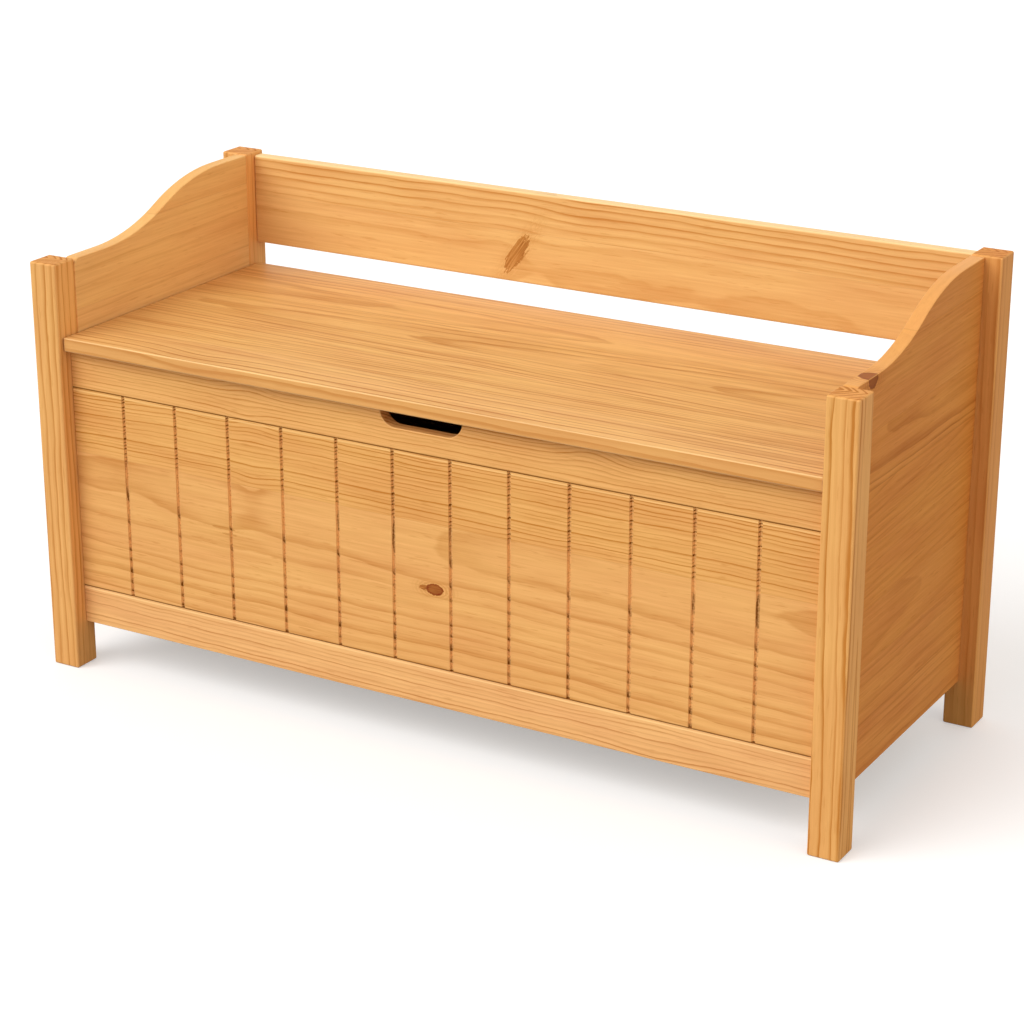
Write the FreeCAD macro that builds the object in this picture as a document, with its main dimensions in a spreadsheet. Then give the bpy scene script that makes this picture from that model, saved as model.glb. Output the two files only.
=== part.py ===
import FreeCAD, Part
import math
import os
import Sketcher

# Storage bench in lacquered pine: four posts, ogee sides, a grooved chest front and a seat that is its lid.
# Millimetres. The origin is on the floor under the middle of the bench, X runs to the right, Y to the
# rear and Z up, so the front of the bench faces -Y.

SIZES = {
    # Overall size and the four posts
    "bench_width": 1140.0,
    "bench_depth": 460.0,
    "post_width": 40.0,
    "front_post_height": 555.0,
    "rear_post_height": 615.0,
    "post_rounding": 2.5,
    # Boards of the chest: their outer faces lie behind the outer faces of the posts
    "board_thickness": 18.0,
    "board_setback": 22.0,
    "board_rounding": 1.5,
    "foot_clearance": 61.0,
    "bottom_rail_height": 52.0,
    "top_rail_height": 52.0,
    # Hand slot in the upper edge of the front top rail
    "slot_width": 116.0,
    "slot_depth": 24.5,
    "slot_corner_radius": 22.0,
    # Grooved front panel, with tongues in the rails
    "plank_count": 13,
    "groove_width": 5.5,
    "groove_floor_width": 2.5,
    "groove_depth": 3.5,
    "tongue_thickness": 8.0,
    "tongue_length": 8.0,
    "tongue_clearance": 0.3,
    # Ogee on the upper edge of each side panel, measured from the inner faces of the posts
    "ogee_front_run": 65.0,
    "ogee_rear_run": 60.0,
    "side_front_drop": 1.0,
    "side_rear_drop": 1.5,
    "nose_radius": 10.0,
    # Back rail above the seat
    "back_rail_thickness": 18.0,
    "back_rail_setback": 4.0,
    "back_rail_drop": 4.5,
    "back_rail_rounding": 3.0,
    "seat_gap": 29.0,
    # Lid, which is the seat
    "seat_height": 458.0,
    "lid_thickness": 18.0,
    "lid_front_inset": 7.0,
    "lid_side_gap": 2.0,
    "lid_lean_gap": 1.0,
    "lid_swing_gap": 1.5,
    "lid_rounding": 2.0,
    # Battens under the lid
    "batten_width": 40.0,
    "batten_thickness": 18.0,
    "batten_inset": 148.0,
    "batten_front_gap": 15.0,
    "batten_rear_gap": 25.0,
    # Pivot pins in the ends of the lid, turning in flanged bushes in the rear posts
    "pin_diameter": 6.0,
    "pin_length": 40.0,
    "pin_seat_depth": 20.0,
    "pin_clearance": 0.05,
    "bush_diameter": 9.0,
    "bush_length": 20.0,
    "flange_diameter": 13.0,
    "flange_thickness": 1.6,
    # Chest floor on cleats
    "floor_thickness": 9.0,
    "floor_gap": 2.0,
    "cleat_width": 20.0,
    "cleat_lift": 6.0,
    "cleat_end_gap": 0.5,
    # Dowels and screws
    "dowel_diameter": 8.0,
    "dowel_length": 40.0,
    "dowel_chamfer": 1.0,
    "dowel_clearance": 0.1,
    "bore_end_gap": 1.0,
    "screw_diameter": 3.5,
    "screw_head_diameter": 7.0,
    "screw_head_height": 2.2,
    "screw_point": 4.0,
    "screw_bite": 11.0,
    "screw_clearance": 0.1,
    "recess_width": 1.0,
    "recess_length": 3.6,
    "recess_depth": 1.4,
}

CUTTER_REACH = 5.0
RAIL_DOWELS = 2
PANEL_DOWELS = 3
CLEAT_SCREWS = 5
SIDE_CLEAT_SCREWS = 2
BATTEN_SCREWS = 4
SIDES = (-1, 1)

ALONG_X = FreeCAD.Rotation(FreeCAD.Vector(0, 1, 0), 90)
AGAINST_X = FreeCAD.Rotation(FreeCAD.Vector(0, 1, 0), -90)
ALONG_Y = FreeCAD.Rotation(FreeCAD.Vector(1, 0, 0), -90)
AGAINST_Y = FreeCAD.Rotation(FreeCAD.Vector(1, 0, 0), 90)
ALONG_Z = FreeCAD.Rotation()
AGAINST_Z = FreeCAD.Rotation(FreeCAD.Vector(1, 0, 0), 180)


# Formulas


class Formula:
    """A number kept together with the sheet expression that gives it."""

    def __init__(self, text, value):
        self.text = text
        self.value = value

    def __add__(self, other):
        other = as_formula(other)
        return Formula(f"({self.text} + {other.text})", self.value + other.value)

    def __sub__(self, other):
        other = as_formula(other)
        return Formula(f"({self.text} - {other.text})", self.value - other.value)

    def __mul__(self, other):
        other = as_formula(other)
        return Formula(f"({self.text} * {other.text})", self.value * other.value)

    def __truediv__(self, other):
        other = as_formula(other)
        return Formula(f"({self.text} / {other.text})", self.value / other.value)

    def __neg__(self):
        return Formula(f"(0 - {self.text})", -self.value)


def as_formula(number):
    """A plain number as a formula, and a formula as it is."""
    if isinstance(number, Formula):
        return number
    return Formula(f"({number})", number)


def smaller(first, second):
    """The smaller of two formulas."""
    return Formula(f"min({first.text}; {second.text})", min(first.value, second.value))


def diagonal(first, second):
    """The diagonal of a right angle's two sides."""
    text = f"sqrt({first.text} * {first.text} + {second.text} * {second.text})"
    return Formula(text, math.hypot(first.value, second.value))


def evenly(low, high, count):
    """Middles of equal shares of the span from low to high."""
    return [low + (high - low) * ((2 * index + 1) / (2 * count)) for index in range(count)]


doc = FreeCAD.newDocument("StorageBench")
sheet = doc.addObject("Spreadsheet::Sheet", "Sizes")
size = {}
for row, (alias, number) in enumerate(SIZES.items(), start=1):
    sheet.set(f"A{row}", alias)
    sheet.set(f"B{row}", str(number))
    sheet.setAlias(f"B{row}", alias)
    size[alias] = Formula(f"Sizes.{alias}", number)
doc.recompute()

# Places that follow from the sizes
half_width = size["bench_width"] / 2
half_depth = size["bench_depth"] / 2
inner_x = half_width - size["post_width"]
inner_y = half_depth - size["post_width"]
thickness = size["board_thickness"]
front_board_y = -half_depth + size["board_setback"]
rear_board_y = half_depth - size["board_setback"] - thickness
side_board_x = half_width - size["board_setback"] - thickness

foot = size["foot_clearance"]
lid_underside = size["seat_height"] - size["lid_thickness"]
panel_low = foot + size["bottom_rail_height"]
panel_high = lid_underside - size["top_rail_height"]
side_low_top = size["front_post_height"] - size["side_front_drop"]
side_high_top = size["rear_post_height"] - size["side_rear_drop"]

back_rail_y = half_depth - size["back_rail_setback"] - size["back_rail_thickness"]
back_rail_low = size["seat_height"] + size["seat_gap"]
back_rail_high = size["rear_post_height"] - size["back_rail_drop"]

lid_end = inner_x - size["lid_side_gap"]
lid_front = -half_depth + size["lid_front_inset"]
half_lid = size["lid_thickness"] / 2
lid_tail = half_lid + size["lid_lean_gap"]
pivot_y = back_rail_y - lid_tail
pivot_z = size["seat_height"] - half_lid
back_panel_top = pivot_z - diagonal(half_lid, lid_tail) - size["lid_swing_gap"]

batten_front = -inner_y + size["batten_front_gap"]
batten_rear = inner_y - size["batten_rear_gap"]
batten_low = lid_underside - size["batten_thickness"]

cleat_low = foot + size["cleat_lift"]
cleat_top = cleat_low + size["cleat_width"]
cleat_middle = cleat_low + size["cleat_width"] / 2
cleat_end = inner_x - size["cleat_end_gap"]
side_cleat_end = inner_y - size["cleat_width"] - size["cleat_end_gap"]
floor_top = cleat_top + size["floor_thickness"]


# Building blocks


def bind(item, **formulas):
    """Bind properties of a document object to formulas."""
    for name, value in formulas.items():
        item.setExpression(name, value.text)


def place(item, x, y, z, rotation=ALONG_Z):
    """Bind the position of a document object and set the way it faces."""
    item.Placement = FreeCAD.Placement(FreeCAD.Vector(), rotation)
    for axis, value in (("x", x), ("y", y), ("z", z)):
        item.setExpression(f"Placement.Base.{axis}", value.text)
    return item


def new_body(name):
    """A new body for one solid."""
    return doc.addObject("PartDesign::Body", name)


def new_sketch(body, name, role):
    """A new sketch on one of the body's own origin planes."""
    plane = next(item for item in body.Origin.OriginFeatures if item.Role == role)
    sketch = body.newObject("Sketcher::SketchObject", name)
    sketch.AttachmentSupport = [(plane, "")]
    sketch.MapMode = "FlatFace"
    return sketch


def bind_distance(sketch, kind, edge, point, value):
    """Bind one coordinate of a sketch point, measured from the sketch origin."""
    index = sketch.addConstraint(Sketcher.Constraint(kind, -1, 1, edge, point, value.value))
    sketch.setExpression(f"Constraints[{index}]", value.text)


def outline(sketch, corners, centres=None):
    """Draw a closed outline through bound corners.

    An edge that has an entry in centres is an arc about that point, and the others are straight.
    """
    centres = centres or {}
    count = len(corners)
    points = [FreeCAD.Vector(u.value, v.value, 0) for u, v in corners]
    first_point = []
    last_point = []
    for index, start in enumerate(points):
        end = points[(index + 1) % count]
        edge = Part.LineSegment(start, end)
        if index in centres:
            centre = FreeCAD.Vector(centres[index][0].value, centres[index][1].value, 0)
            spoke = (start - centre) + (end - centre)
            edge = Part.Arc(start, centre + spoke.normalize() * (start - centre).Length, end)
        sketch.addGeometry(edge)
        drawn = sketch.getPoint(index, 1)
        forward = drawn.distanceToPoint(start) <= drawn.distanceToPoint(end)
        first_point.append(1 if forward else 2)
        last_point.append(2 if forward else 1)
    for index, (u, v) in enumerate(corners):
        after = (index + 1) % count
        joined = Sketcher.Constraint("Coincident", index, last_point[index], after, first_point[after])
        sketch.addConstraint(joined)
        bind_distance(sketch, "DistanceX", index, first_point[index], u)
        bind_distance(sketch, "DistanceY", index, first_point[index], v)
    for index, (u, _) in centres.items():
        bind_distance(sketch, "DistanceX", index, 3, u)


def rectangle(width, height):
    """Corners of a rectangle that starts at the sketch origin."""
    zero = as_formula(0)
    return [(zero, zero), (width, zero), (width, height), (zero, height)]


def pad(body, sketch, length):
    """Pad a sketch by a bound length."""
    feature = body.newObject("PartDesign::Pad", f"{body.Name}_pad")
    feature.Profile = sketch
    bind(feature, Length=length)
    doc.recompute()
    return feature


def round_edges(body, radius):
    """Round every edge of the body as it stands."""
    base = body.Tip
    feature = body.newObject("PartDesign::Fillet", f"{body.Name}_rounding")
    feature.Base = (base, ["Edge1"])
    feature.UseAllEdges = True
    bind(feature, Radius=radius)
    doc.recompute()
    return feature


def board(name, low, high, rounding):
    """A rectangular board between two corners, with every edge rounded."""
    span = [top - bottom for bottom, top in zip(low, high)]
    body = new_body(name)
    sketch = new_sketch(body, f"{name}_section", "XY_Plane")
    outline(sketch, rectangle(span[0], span[1]))
    pad(body, sketch, span[2])
    if rounding is not None:
        round_edges(body, rounding)
    return place(body, *low)


def block(name, low, high):
    """A plain rectangular cutter or tongue between two corners."""
    item = doc.addObject("Part::Box", name)
    bind(item, Length=high[0] - low[0], Width=high[1] - low[1], Height=high[2] - low[2])
    return place(item, *low)


def turned(name, profile):
    """A round solid turned about its own Z axis, from corners of (radius, height)."""
    body = new_body(name)
    sketch = new_sketch(body, f"{name}_profile", "XZ_Plane")
    outline(sketch, profile)
    feature = body.newObject("PartDesign::Revolution", f"{name}_turning")
    feature.Profile = sketch
    feature.ReferenceAxis = (sketch, ["V_Axis"])
    feature.Angle = 360
    doc.recompute()
    return body


def group(name, items):
    """One object that holds several separate solids."""
    compound = doc.addObject("Part::Compound", name)
    compound.Links = items
    return compound


def copies(name, original, seats):
    """Copies of one solid at a list of (x, y, z, rotation) seats."""
    links = []
    for index, seat in enumerate(seats):
        link = doc.addObject("App::Link", f"{name}_{index + 1}")
        link.LinkedObject = original
        link.LinkTransform = False
        place(link, *seat)
        links.append(link)
    return group(name, links)


def cut(name, blank, tools):
    """A blank with one or more tools taken out of it."""
    result = doc.addObject("Part::Cut", name)
    result.Base = blank
    result.Tool = group(f"{name}_tools", tools)
    return result


nodes = []


def node(label, item):
    """Name a finished sub-part and keep it for export."""
    item.Label = label
    nodes.append(item)
    return item


# Dowels: each seat is the point where a dowel crosses from one piece into the next


def dowel_seats(rotation, length, places):
    """Seats for rods of one length that are centred on the given points."""
    offset = rotation.multVec(FreeCAD.Vector(0, 0, -1))
    seats = []
    for x, y, z in places:
        start = [at + length / 2 * step for at, step in zip((x, y, z), offset)]
        seats.append((*start, rotation))
    return seats


dowel = new_body("dowel")
dowel_sketch = new_sketch(dowel, "dowel_section", "XY_Plane")
dowel_circle = dowel_sketch.addGeometry(Part.Circle(FreeCAD.Vector(), FreeCAD.Vector(0, 0, 1), 1))
dowel_sketch.addConstraint(Sketcher.Constraint("Coincident", dowel_circle, 3, -1, 1))
dowel_size = dowel_sketch.addConstraint(Sketcher.Constraint("Diameter", dowel_circle, 2))
dowel_sketch.setExpression(f"Constraints[{dowel_size}]", size["dowel_diameter"].text)
dowel_rod = pad(dowel, dowel_sketch, size["dowel_length"])
dowel_ends = dowel.newObject("PartDesign::Chamfer", "dowel_ends")
dowel_ends.Base = (dowel_rod, ["Edge1"])
dowel_ends.UseAllEdges = True
bind(dowel_ends, Size=size["dowel_chamfer"])

bore_length = size["dowel_length"] + size["bore_end_gap"] * 2
dowel_bore = doc.addObject("Part::Cylinder", "dowel_bore")
bind(dowel_bore, Radius=size["dowel_diameter"] / 2 + size["dowel_clearance"], Height=bore_length)

front_y = front_board_y + thickness / 2
rear_y = rear_board_y + thickness / 2
side_x = side_board_x + thickness / 2
back_rail_middle = back_rail_y + size["back_rail_thickness"] / 2

bottom_rail_levels = evenly(foot, panel_low, RAIL_DOWELS)
top_rail_levels = evenly(panel_high, lid_underside, RAIL_DOWELS)
panel_levels = evenly(panel_low, panel_high, PANEL_DOWELS)
back_rail_levels = evenly(back_rail_low, back_rail_high, RAIL_DOWELS)
rail_middles = [(foot + panel_low) / 2, (panel_high + lid_underside) / 2]
panel_step = (panel_high - panel_low) / PANEL_DOWELS
side_levels = [panel_low + panel_step * index for index in range(PANEL_DOWELS + 1)]
side_levels.append((size["seat_height"] + size["front_post_height"]) / 2)

dowel_places = {
    "front_rail_dowels": (front_y, bottom_rail_levels + top_rail_levels),
    "front_panel_dowels": (front_y, panel_levels),
    "back_panel_dowels": (rear_y, panel_levels + rail_middles),
    "back_rail_dowels": (back_rail_middle, back_rail_levels),
}
bores = {}
for label, (y, levels) in dowel_places.items():
    spots = [(inner_x * side, y, z) for side in SIDES for z in levels]
    node(label, copies(label, dowel, dowel_seats(ALONG_X, size["dowel_length"], spots)))
    bores[label] = copies(f"{label}_bores", dowel_bore, dowel_seats(ALONG_X, bore_length, spots))

spots = [(side_x * side, inner_y * end, z) for side in SIDES for end in SIDES for z in side_levels]
side_dowel_seats = dowel_seats(ALONG_Y, size["dowel_length"], spots)
side_bore_seats = dowel_seats(ALONG_Y, bore_length, spots)
node("side_panel_dowels", copies("side_panel_dowels", dowel, side_dowel_seats))
bores["side_panel_dowels"] = copies("side_panel_dowels_bores", dowel_bore, side_bore_seats)

# Pivot of the lid: a steel pin in each end of the lid and a flanged bush in each rear post

pin = doc.addObject("Part::Cylinder", "pivot_pin")
bind(pin, Radius=size["pin_diameter"] / 2, Height=size["pin_length"])
bore_radius = size["pin_diameter"] / 2 + size["pin_clearance"]
pin_bore = doc.addObject("Part::Cylinder", "pivot_pin_bore")
bind(pin_bore, Radius=bore_radius, Height=size["pin_length"])

flange_radius = size["flange_diameter"] / 2
bush_radius = size["bush_diameter"] / 2
bush = turned(
    "pivot_bush",
    [
        (bore_radius, -size["flange_thickness"]),
        (flange_radius, -size["flange_thickness"]),
        (flange_radius, as_formula(0)),
        (bush_radius, as_formula(0)),
        (bush_radius, size["bush_length"]),
        (bore_radius, size["bush_length"]),
    ],
)
bush_bore = doc.addObject("Part::Cylinder", "pivot_bush_bore")
bind(
    bush_bore,
    Radius=bush_radius + size["pin_clearance"],
    Height=size["bush_length"] + size["bore_end_gap"],
)


def pivot_seats(start):
    """Seats at both ends of the pivot axis that face outwards."""
    return [(start, pivot_y, pivot_z, ALONG_X), (-start, pivot_y, pivot_z, AGAINST_X)]


pin_start = lid_end - size["pin_seat_depth"]
bush_seats = pivot_seats(inner_x)
node("pivot_pins", copies("pivot_pins", pin, pivot_seats(pin_start)))
node("pivot_bushes", copies("pivot_bushes", bush, bush_seats))
pin_bore_seats = pivot_seats(pin_start - size["bore_end_gap"])
bores["pivot_pins"] = copies("pivot_pins_bores", pin_bore, pin_bore_seats)
bores["pivot_bushes"] = copies("pivot_bushes_bores", bush_bore, bush_seats)

# Countersunk screws: the seat is the middle of the head, and the screw runs along its own +Z


def screw_profile(length, gap):
    """Half section of a countersunk screw, grown by a gap for the hole it sits in."""
    zero = as_formula(0)
    shank = size["screw_diameter"] / 2 + gap
    return [
        (zero, -gap),
        (size["screw_head_diameter"] / 2 + gap, -gap),
        (size["screw_head_diameter"] / 2 + gap, zero),
        (shank, size["screw_head_height"]),
        (shank, length - size["screw_point"]),
        (zero, length + gap),
    ]


def plain_screw_profile(length):
    """Half section of the screw itself."""
    corners = screw_profile(length, as_formula(0))
    return corners[:1] + corners[2:]


def screws(label, length, seats):
    """A group of cross-recessed screws and the matching group of screw holes."""
    turned_screw = turned(f"{label}_turned", plain_screw_profile(length))
    half_long = size["recess_length"] / 2
    half_wide = size["recess_width"] / 2
    depth = size["recess_depth"]
    reach = as_formula(-CUTTER_REACH)
    across = block(f"{label}_recess_x", (-half_long, -half_wide, reach), (half_long, half_wide, depth))
    along = block(f"{label}_recess_y", (-half_wide, -half_long, reach), (half_wide, half_long, depth))
    recess = doc.addObject("Part::MultiFuse", f"{label}_recess")
    recess.Shapes = [across, along]
    screw = doc.addObject("Part::Cut", f"{label}_screw")
    screw.Base = turned_screw
    screw.Tool = recess
    hole = turned(f"{label}_hole", screw_profile(length, size["screw_clearance"]))
    node(label, copies(label, screw, seats))
    bores[label] = copies(f"{label}_holes", hole, seats)


cleat_inner_y = inner_y - size["cleat_width"]
cleat_inner_x = inner_x - size["cleat_width"]
cleat_screw_seats = []
for x in evenly(-cleat_end, cleat_end, CLEAT_SCREWS):
    cleat_screw_seats.append((x, -cleat_inner_y, cleat_middle, AGAINST_Y))
    cleat_screw_seats.append((x, cleat_inner_y, cleat_middle, ALONG_Y))
for y in evenly(-side_cleat_end, side_cleat_end, SIDE_CLEAT_SCREWS):
    cleat_screw_seats.append((-cleat_inner_x, y, cleat_middle, AGAINST_X))
    cleat_screw_seats.append((cleat_inner_x, y, cleat_middle, ALONG_X))
screws("cleat_screws", size["cleat_width"] + size["screw_bite"], cleat_screw_seats)

floor_screw_step = cleat_end * 2 / CLEAT_SCREWS
floor_screw_y = inner_y - size["cleat_width"] / 2
floor_screw_seats = []
for index in range(1, CLEAT_SCREWS):
    for side in SIDES:
        x = -cleat_end + floor_screw_step * index
        floor_screw_seats.append((x, floor_screw_y * side, floor_top, AGAINST_Z))
screws("floor_screws", size["floor_thickness"] + size["screw_bite"], floor_screw_seats)

batten_reach = lid_end - size["batten_inset"]
batten_middles = {
    "left_lid_batten": -batten_reach,
    "centre_lid_batten": as_formula(0),
    "right_lid_batten": batten_reach,
}
batten_screw_seats = []
for x in batten_middles.values():
    for y in evenly(batten_front, batten_rear, BATTEN_SCREWS):
        batten_screw_seats.append((x, y, batten_low, ALONG_Z))
screws("batten_screws", size["batten_thickness"] + size["screw_bite"], batten_screw_seats)


# Posts


def post(label, side, end, height, tools):
    """One corner post, bored for the dowels that meet it."""
    low_x = inner_x if side > 0 else -half_width
    low_y = inner_y if end > 0 else -half_depth
    low = (low_x, low_y, as_formula(0))
    high = (low_x + size["post_width"], low_y + size["post_width"], height)
    blank = board(f"{label}_blank", low, high, size["post_rounding"])
    node(label, cut(label, blank, [bores[name] for name in tools]))


front_tools = ["front_rail_dowels", "front_panel_dowels", "side_panel_dowels"]
rear_tools = ["back_panel_dowels", "back_rail_dowels", "side_panel_dowels", "pivot_bushes"]
for side, word in zip(SIDES, ("left", "right")):
    post(f"front_{word}_post", side, -1, size["front_post_height"], front_tools)
    post(f"rear_{word}_post", side, 1, size["rear_post_height"], rear_tools)


# Side panels: the outline lies in the YZ plane, with an ogee of two equal arcs


def side_panel(label, side):
    """One side panel between a front and a rear post."""
    nose = size["nose_radius"]
    ogee_start = -inner_y + size["ogee_front_run"]
    ogee_end = inner_y - size["ogee_rear_run"]
    run = ogee_end - ogee_start
    rise = side_high_top - side_low_top
    radius = (run * run + rise * rise) / (rise * 4)
    corners = [
        (-inner_y, foot),
        (inner_y, foot),
        (inner_y, side_high_top),
        (ogee_end, side_high_top),
        (ogee_start + run / 2, side_low_top + rise / 2),
        (ogee_start, side_low_top),
        (-inner_y + nose, side_low_top),
        (-inner_y, side_low_top - nose),
    ]
    centres = {
        3: (ogee_end, side_high_top - radius),
        4: (ogee_start, side_low_top + radius),
        6: (-inner_y + nose, side_low_top - nose),
    }
    body = new_body(f"{label}_blank")
    sketch = new_sketch(body, f"{label}_outline", "YZ_Plane")
    outline(sketch, corners, centres)
    pad(body, sketch, thickness)
    round_edges(body, size["board_rounding"])
    low_x = side_board_x if side > 0 else -side_board_x - thickness
    place(body, low_x, as_formula(0), as_formula(0))
    node(label, cut(label, body, [bores["side_panel_dowels"], bores["cleat_screws"]]))


for side, word in zip(SIDES, ("left", "right")):
    side_panel(f"{word}_side_panel", side)


# Chest front: bottom rail, grooved panel and top rail with the hand slot

front_back_y = front_board_y + thickness
tongue_y = front_y - size["tongue_thickness"] / 2
tongue_back_y = front_y + size["tongue_thickness"] / 2
room = size["tongue_clearance"]
tongue_room = size["tongue_length"] + room


def tongue_groove(name, low_z, high_z):
    """Cutter for the groove that takes a tongue of the front panel."""
    low = (-inner_x - CUTTER_REACH, tongue_y - room, low_z)
    high = (inner_x + CUTTER_REACH, tongue_back_y + room, high_z)
    return block(name, low, high)


bottom_rail = board(
    "front_bottom_rail_blank",
    (-inner_x, front_board_y, foot),
    (inner_x, front_back_y, panel_low),
    size["board_rounding"],
)
bottom_groove = tongue_groove("bottom_rail_groove", panel_low - tongue_room, panel_low + CUTTER_REACH)
bottom_tools = [bottom_groove, bores["front_rail_dowels"], bores["cleat_screws"]]
node("front_bottom_rail", cut("front_bottom_rail", bottom_rail, bottom_tools))

top_rail = new_body("front_top_rail_blank")
slot_sketch = new_sketch(top_rail, "front_top_rail_outline", "XZ_Plane")
slot_half = size["slot_width"] / 2
slot_low = size["top_rail_height"] - size["slot_depth"]
slot_corner = smaller(size["slot_corner_radius"], size["slot_depth"] - size["board_rounding"])
outline(
    slot_sketch,
    [
        (-inner_x, as_formula(0)),
        (inner_x, as_formula(0)),
        (inner_x, size["top_rail_height"]),
        (slot_half, size["top_rail_height"]),
        (slot_half, slot_low + slot_corner),
        (slot_half - slot_corner, slot_low),
        (slot_corner - slot_half, slot_low),
        (-slot_half, slot_low + slot_corner),
        (-slot_half, size["top_rail_height"]),
        (-inner_x, size["top_rail_height"]),
    ],
    {
        4: (slot_half - slot_corner, slot_low + slot_corner),
        6: (slot_corner - slot_half, slot_low + slot_corner),
    },
)
pad(top_rail, slot_sketch, thickness)
round_edges(top_rail, size["board_rounding"])
place(top_rail, as_formula(0), front_back_y, panel_high)
top_groove = tongue_groove("top_rail_groove", panel_high - CUTTER_REACH, panel_high + tongue_room)
node("front_top_rail", cut("front_top_rail", top_rail, [top_groove, bores["front_rail_dowels"]]))

panel = board(
    "front_panel_slab",
    (-inner_x, front_board_y, panel_low),
    (inner_x, front_back_y, panel_high),
    size["board_rounding"],
)
slab_volume = panel.Shape.Volume
plank_width = inner_x * 2 / size["plank_count"]
groove_half = size["groove_width"] / 2
groove_floor_half = size["groove_floor_width"] / 2
groove_sketch = new_sketch(panel, "front_panel_groove", "XY_Plane")
outline(
    groove_sketch,
    [
        (plank_width - groove_half, as_formula(0)),
        (plank_width + groove_half, as_formula(0)),
        (plank_width + groove_floor_half, size["groove_depth"]),
        (plank_width - groove_floor_half, size["groove_depth"]),
    ],
)
groove = panel.newObject("PartDesign::Pocket", "front_panel_groove_cut")
groove.Profile = groove_sketch
groove.Type = "ThroughAll"
groove.Reversed = True
doc.recompute()
grooves = panel.newObject("PartDesign::LinearPattern", "front_panel_grooves")
grooves.Originals = [groove]
grooves.Direction = (groove_sketch, ["H_Axis"])
bind(grooves, Length=plank_width * (size["plank_count"] - 2), Occurrences=size["plank_count"] - 1)
panel.Tip = grooves
doc.recompute()
if panel.Shape.Volume >= slab_volume:
    raise RuntimeError("the grooves of the front panel cut nothing")

tongue_end = inner_x - room
tongues = [
    block(
        "front_panel_lower_tongue",
        (-tongue_end, tongue_y, panel_low - size["tongue_length"]),
        (tongue_end, tongue_back_y, panel_low + size["tongue_length"]),
    ),
    block(
        "front_panel_upper_tongue",
        (-tongue_end, tongue_y, panel_high - size["tongue_length"]),
        (tongue_end, tongue_back_y, panel_high + size["tongue_length"]),
    ),
]
tongued_panel = doc.addObject("Part::MultiFuse", "front_panel_tongued")
tongued_panel.Shapes = [panel, *tongues]
node("front_panel", cut("front_panel", tongued_panel, [bores["front_panel_dowels"]]))

# Back: the rail above the seat and the chest back below it

back_rail = board(
    "back_rail_blank",
    (-inner_x, back_rail_y, back_rail_low),
    (inner_x, back_rail_y + size["back_rail_thickness"], back_rail_high),
    size["back_rail_rounding"],
)
node("back_rail", cut("back_rail", back_rail, [bores["back_rail_dowels"]]))

back_panel = board(
    "lower_back_panel_blank",
    (-inner_x, rear_board_y, foot),
    (inner_x, rear_board_y + thickness, back_panel_top),
    size["board_rounding"],
)
back_tools = [bores["back_panel_dowels"], bores["cleat_screws"]]
node("lower_back_panel", cut("lower_back_panel", back_panel, back_tools))

# Chest floor and its cleats

floor_x = inner_x - size["floor_gap"]
floor_y = inner_y - size["floor_gap"]
floor_low = (-floor_x, -floor_y, cleat_top)
floor_panel = board("floor_panel_blank", floor_low, (floor_x, floor_y, floor_top), None)
node("floor_panel", cut("floor_panel", floor_panel, [bores["floor_screws"]]))

cleat_tools = [bores["cleat_screws"], bores["floor_screws"]]
cleats = {
    "front_floor_cleat": ((-cleat_end, -inner_y), (cleat_end, -cleat_inner_y)),
    "rear_floor_cleat": ((-cleat_end, cleat_inner_y), (cleat_end, inner_y)),
    "left_floor_cleat": ((-inner_x, -side_cleat_end), (-cleat_inner_x, side_cleat_end)),
    "right_floor_cleat": ((cleat_inner_x, -side_cleat_end), (inner_x, side_cleat_end)),
}
for label, (low, high) in cleats.items():
    blank = board(f"{label}_blank", (*low, cleat_low), (*high, cleat_top), None)
    node(label, cut(label, blank, cleat_tools))

# Lid and its battens

lid = board(
    "lid_blank",
    (-lid_end, lid_front, lid_underside),
    (lid_end, back_rail_y, size["seat_height"]),
    size["lid_rounding"],
)
node("lid", cut("lid", lid, [bores["batten_screws"], bores["pivot_pins"]]))

batten_half = size["batten_width"] / 2
for label, middle in batten_middles.items():
    low = (middle - batten_half, batten_front, batten_low)
    high = (middle + batten_half, batten_rear, lid_underside)
    blank = board(f"{label}_blank", low, high, size["board_rounding"])
    node(label, cut(label, blank, [bores["batten_screws"]]))

# Check and export

doc.recompute()
for item in doc.Objects:
    if "Invalid" in item.State or "Error" in item.State:
        raise RuntimeError(f"{item.Label} failed: {item.State}")
for item in nodes:
    if item.Shape.isNull() or not item.Shape.isValid():
        raise RuntimeError(f"{item.Label} has no valid shape")

os.makedirs("parts", exist_ok=True)
for item in nodes:
    item.Shape.exportStep(f"parts/{item.Label}.step")
    print(item.Label, len(item.Shape.Solids), round(item.Shape.Volume))
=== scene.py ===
"""Looks of the pine storage bench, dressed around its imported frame.

Every board is cut from a solid pattern of growth rings, so that its faces, edges and ends agree with
each other as they do on sawn timber. All lengths are in metres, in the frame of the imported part.
"""

from __future__ import annotations

import logging
import math
from dataclasses import dataclass
from enum import Enum
from typing import ClassVar, Sequence, Union

import bpy
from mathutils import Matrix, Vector


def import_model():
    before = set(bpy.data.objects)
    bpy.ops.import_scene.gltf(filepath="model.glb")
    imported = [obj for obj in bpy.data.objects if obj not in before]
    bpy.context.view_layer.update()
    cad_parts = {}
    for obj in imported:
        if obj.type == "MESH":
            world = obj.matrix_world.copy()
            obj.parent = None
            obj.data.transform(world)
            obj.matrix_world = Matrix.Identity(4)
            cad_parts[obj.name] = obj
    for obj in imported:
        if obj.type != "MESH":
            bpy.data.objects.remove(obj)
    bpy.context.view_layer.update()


LOG = logging.getLogger("bench")
MM = 0.001

Pair = tuple[float, float]
Triple = tuple[float, float, float]
ORIGIN: Triple = (0.0, 0.0, 0.0)


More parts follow.
